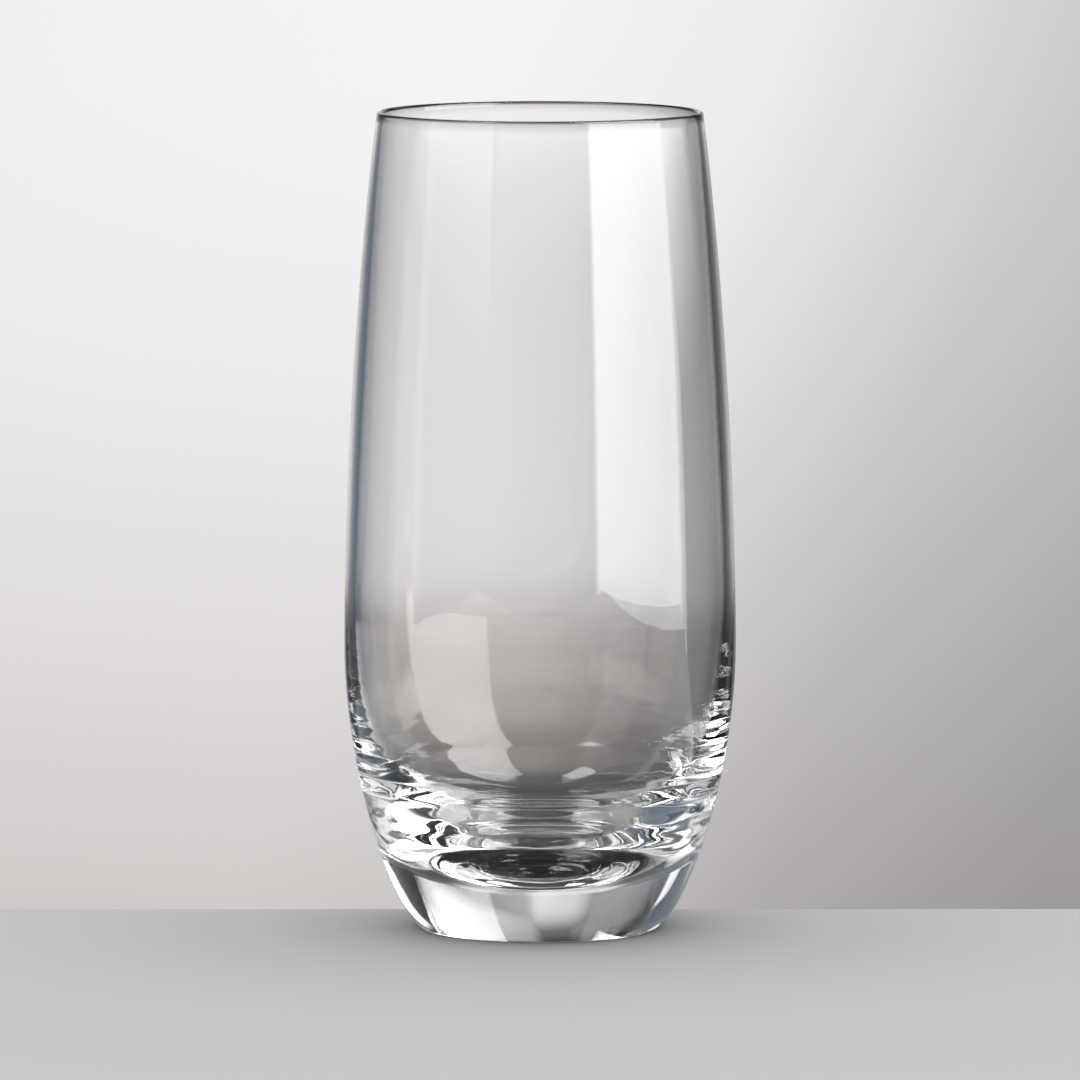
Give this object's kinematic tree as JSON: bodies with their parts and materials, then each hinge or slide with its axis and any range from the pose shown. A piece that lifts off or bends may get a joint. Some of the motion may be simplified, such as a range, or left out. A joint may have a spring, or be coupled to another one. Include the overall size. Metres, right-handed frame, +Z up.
{
  "type": "highball glass",
  "caption": "Tall straight-sided drinking glass that swells to a low belly, with a thin fire-polished rim and a heavy solid base.",
  "frame": {"origin": "centre of the foot ring, on the surface that the glass stands on", "axes": "+Z up along the axis of revolution; the glass is the same all round, so +X and +Y are any two level directions"},
  "size_m": [0.0671, 0.067, 0.14],
  "materials": {
    "clear_glass": "clear, colourless, fire polished, with faint blowing ripples in the lower wall"
  },
  "bodies": {
    "root": {"tumbler": "clear_glass"}
  },
  "joints": []
}
